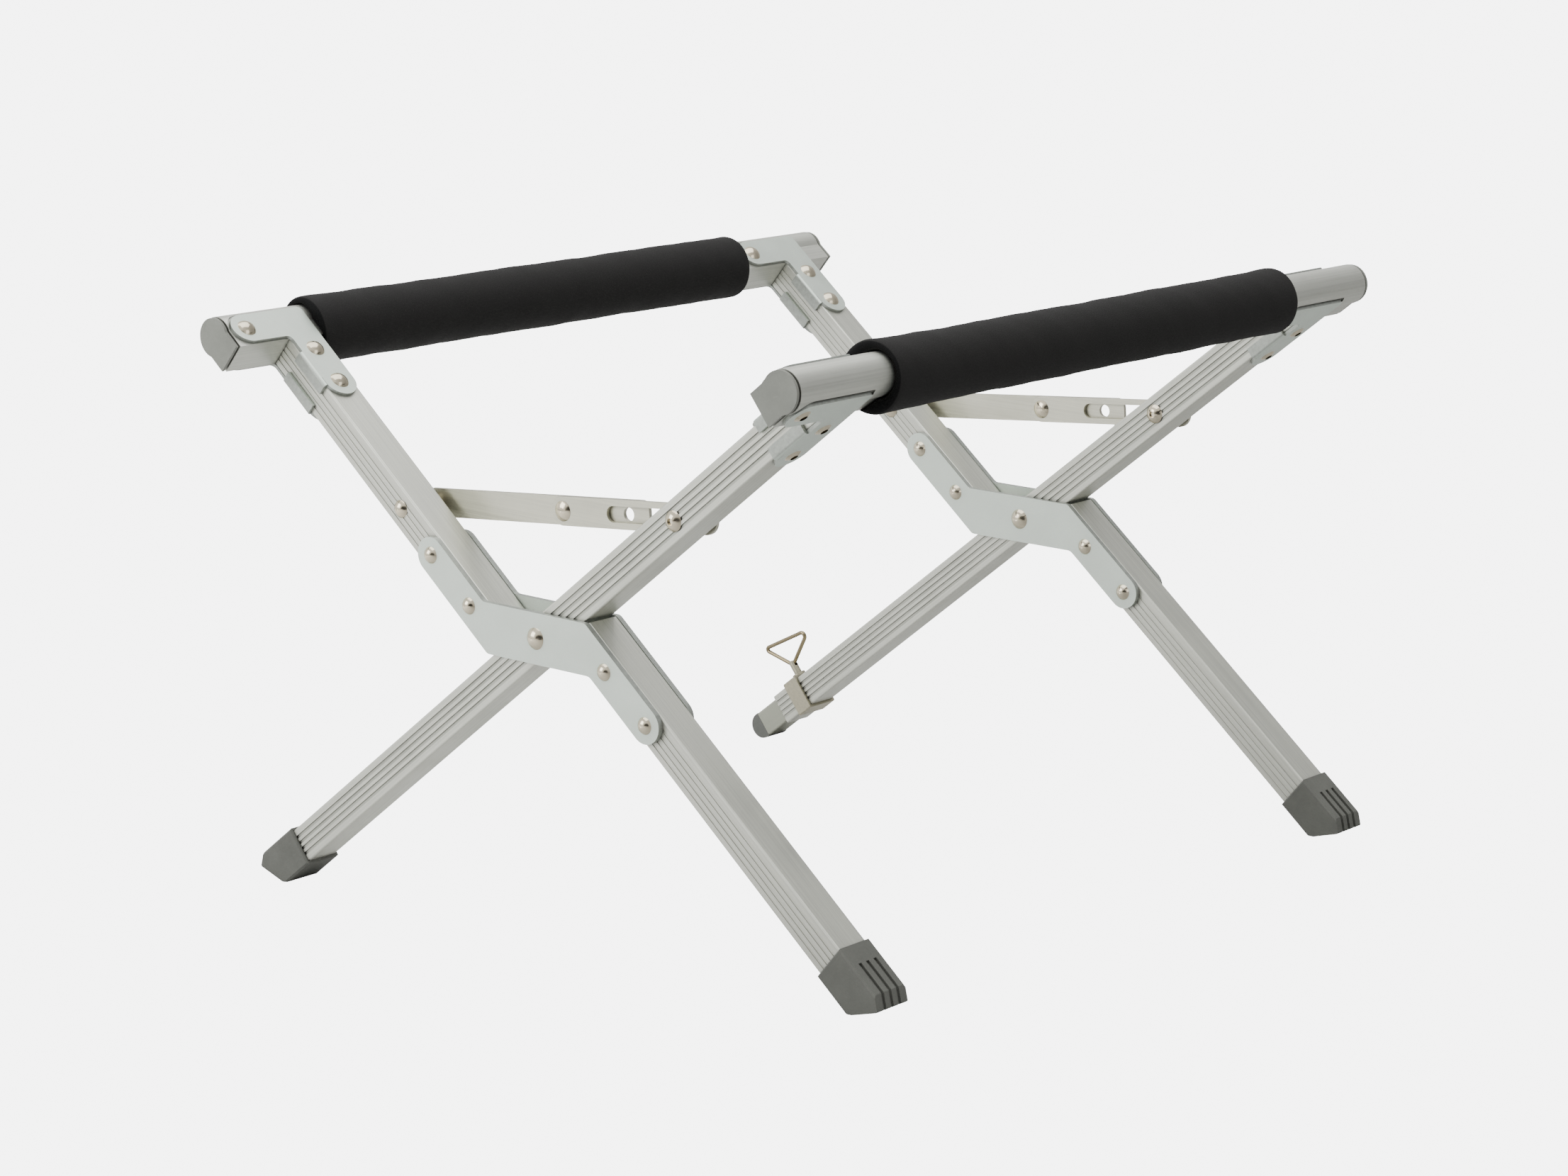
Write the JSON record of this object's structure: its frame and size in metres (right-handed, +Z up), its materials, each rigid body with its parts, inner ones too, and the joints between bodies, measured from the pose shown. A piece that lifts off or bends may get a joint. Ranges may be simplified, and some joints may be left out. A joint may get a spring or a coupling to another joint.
{
  "type": "folding stand",
  "caption": "Folding aluminium X-frame stand with padded rails, riveted scissor legs, slotted locking stays, rubber feet and a levelling foot.",
  "frame": {"origin": "centre of the bounding box in plan, on the ground plane", "axes": "+Z up, +Y along the rails towards the frame with the levelling foot, +X across the scissor towards the straight leg's rail"},
  "size_m": [0.4393, 0.4788, 0.3203],
  "materials": {
    "aluminium_tube": "satin mill finish, lightly drawn lengthwise",
    "aluminium_plate": "smooth matte, slightly blue-grey",
    "nickel_rivet": "polished nickel",
    "zinc_steel": "satin zinc, slightly yellow",
    "foot_rubber": "matte grey",
    "tip_plastic": "matte mid grey",
    "cap_plastic": "matte grey",
    "foam": "closed-cell foam, matte black"
  },
  "bodies": {
    "split_leg_frame": {"leg1_upper_a": "aluminium_tube", "leg1_lower_a": "aluminium_tube", "leg1_upper_b": "aluminium_tube", "leg1_lower_b": "aluminium_tube", "zplate_front_a": "aluminium_plate", "zplate_back_a": "aluminium_plate", "zplate_front_b": "aluminium_plate", "zplate_back_b": "aluminium_plate", "bracket_1a_inner": "aluminium_plate", "bracket_1a_outer": "aluminium_plate", "bracket_1b_inner": "aluminium_plate", "bracket_1b_outer": "aluminium_plate", "rail_1": "aluminium_tube", "rail_1_caps": "cap_plastic", "foam_1": "foam", "rivets_zplates": "nickel_rivet", "rivets_pivots": "nickel_rivet", "rivets_brackets_1": "nickel_rivet", "rivets_stay_pins": "nickel_rivet", "foot_a_1": "foot_rubber", "foot_b_1": "foot_rubber"},
    "straight_leg_frame": {"leg2_a": "aluminium_tube", "leg2_b": "aluminium_tube", "bracket_2a_inner": "aluminium_plate", "bracket_2a_outer": "aluminium_plate", "bracket_2b_inner": "aluminium_plate", "bracket_2b_outer": "aluminium_plate", "rail_2": "aluminium_tube", "rail_2_caps": "cap_plastic", "foam_2": "foam", "rivets_brackets_2": "nickel_rivet", "rivets_slot_pins": "nickel_rivet", "foot_a_2": "foot_rubber", "clamp_band": "zinc_steel"},
    "stay_left_front": {"stay_left_a": "zinc_steel", "rivet_elbow_a": "nickel_rivet"},
    "stay_right_front": {"stay_right_a": "zinc_steel"},
    "stay_left_back": {"stay_left_b": "zinc_steel", "rivet_elbow_b": "nickel_rivet"},
    "stay_right_back": {"stay_right_b": "zinc_steel"},
    "levelling_foot": {"level_foot": "aluminium_tube", "level_foot_tip": "tip_plastic"},
    "clamp_screw_body": {"clamp_screw": "zinc_steel", "clamp_handle": "nickel_rivet"}
  },
  "joints": [
    {"name": "fold", "type": "hinge", "parent": "split_leg_frame", "child": "straight_leg_frame", "pos_m": [0.00225, 0.00737, 0.1603], "axis": [0, -1, 0], "range_deg": [0, 84]},
    {"name": "stay_left_front_swing", "type": "hinge", "parent": "split_leg_frame", "child": "stay_left_front", "pos_m": [-0.09529, -0.17742, 0.21699], "axis": [0, -1, 0], "range_deg": [-15, 0]},
    {"name": "stay_right_front_swing", "type": "hinge", "parent": "stay_left_front", "child": "stay_right_front", "pos_m": [0.0006, -0.17742, 0.22162], "axis": [0, -1, 0], "range_deg": [0, 145]},
    {"name": "stay_left_back_swing", "type": "hinge", "parent": "split_leg_frame", "child": "stay_left_back", "pos_m": [-0.09529, 0.22257, 0.21699], "axis": [0, -1, 0], "range_deg": [-15, 0]},
    {"name": "stay_right_back_swing", "type": "hinge", "parent": "stay_left_back", "child": "stay_right_back", "pos_m": [0.0006, 0.22257, 0.22162], "axis": [0, -1, 0], "range_deg": [0, 145]},
    {"name": "levelling_foot_slide", "type": "slide", "parent": "straight_leg_frame", "child": "levelling_foot", "axis": [-0.809, 0, -0.5878], "range_m": [-0.018, 0.015]},
    {"name": "clamp_screw_turn", "type": "hinge", "parent": "straight_leg_frame", "child": "clamp_screw_body", "pos_m": [-0.18166, 0.20738, 0.04152], "axis": [-0.5878, 0, 0.809], "range_deg": [0, 360]}
  ],
  "couplings": [
    {"joint": "stay_left_front_swing", "follows": "fold", "ratio": -0.1687},
    {"joint": "stay_left_back_swing", "follows": "fold", "ratio": -0.1687},
    {"joint": "stay_right_front_swing", "follows": "fold", "ratio": 1.7165},
    {"joint": "stay_right_back_swing", "follows": "fold", "ratio": 1.7165}
  ]
}
